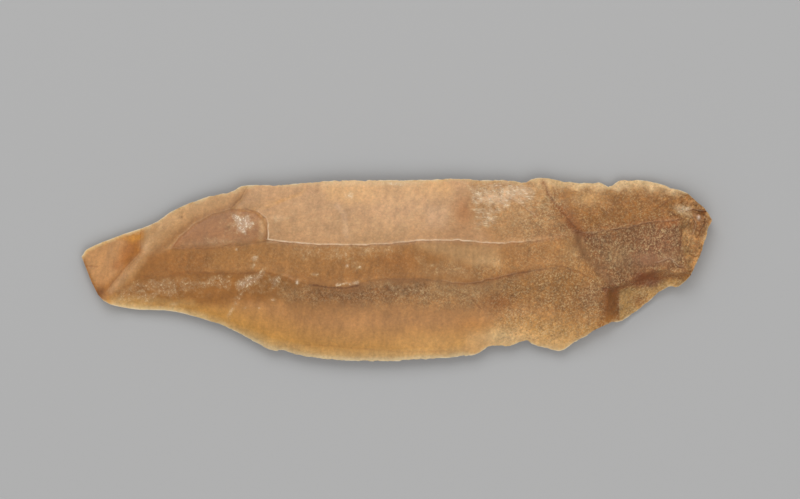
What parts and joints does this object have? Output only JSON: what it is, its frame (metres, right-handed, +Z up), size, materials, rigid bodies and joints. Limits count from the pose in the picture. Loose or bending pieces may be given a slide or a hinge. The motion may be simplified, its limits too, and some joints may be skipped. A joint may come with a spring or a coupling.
{
  "type": "flint sickle blade",
  "caption": "Long struck flint blade with two ridges along its upper side, a snapped tip, a thin scalloped cutting edge, a thicker battered butt and a smooth bowed underside.",
  "frame": {"origin": "middle of the underside's bounding box, on the surface that the blade lies on", "axes": "+X from the snapped tip to the struck butt, +Y from the cutting edge to the back, +Z up from the smooth underside to the ridged side"},
  "size_m": [0.085, 0.0248, 0.0065],
  "materials": {
    "flint": "semi-translucent honey-brown flint, waxy on the fresh scars, whitish and grainy where it is weathered"
  },
  "bodies": {
    "root": {"sickle_blade": "flint"}
  },
  "joints": []
}
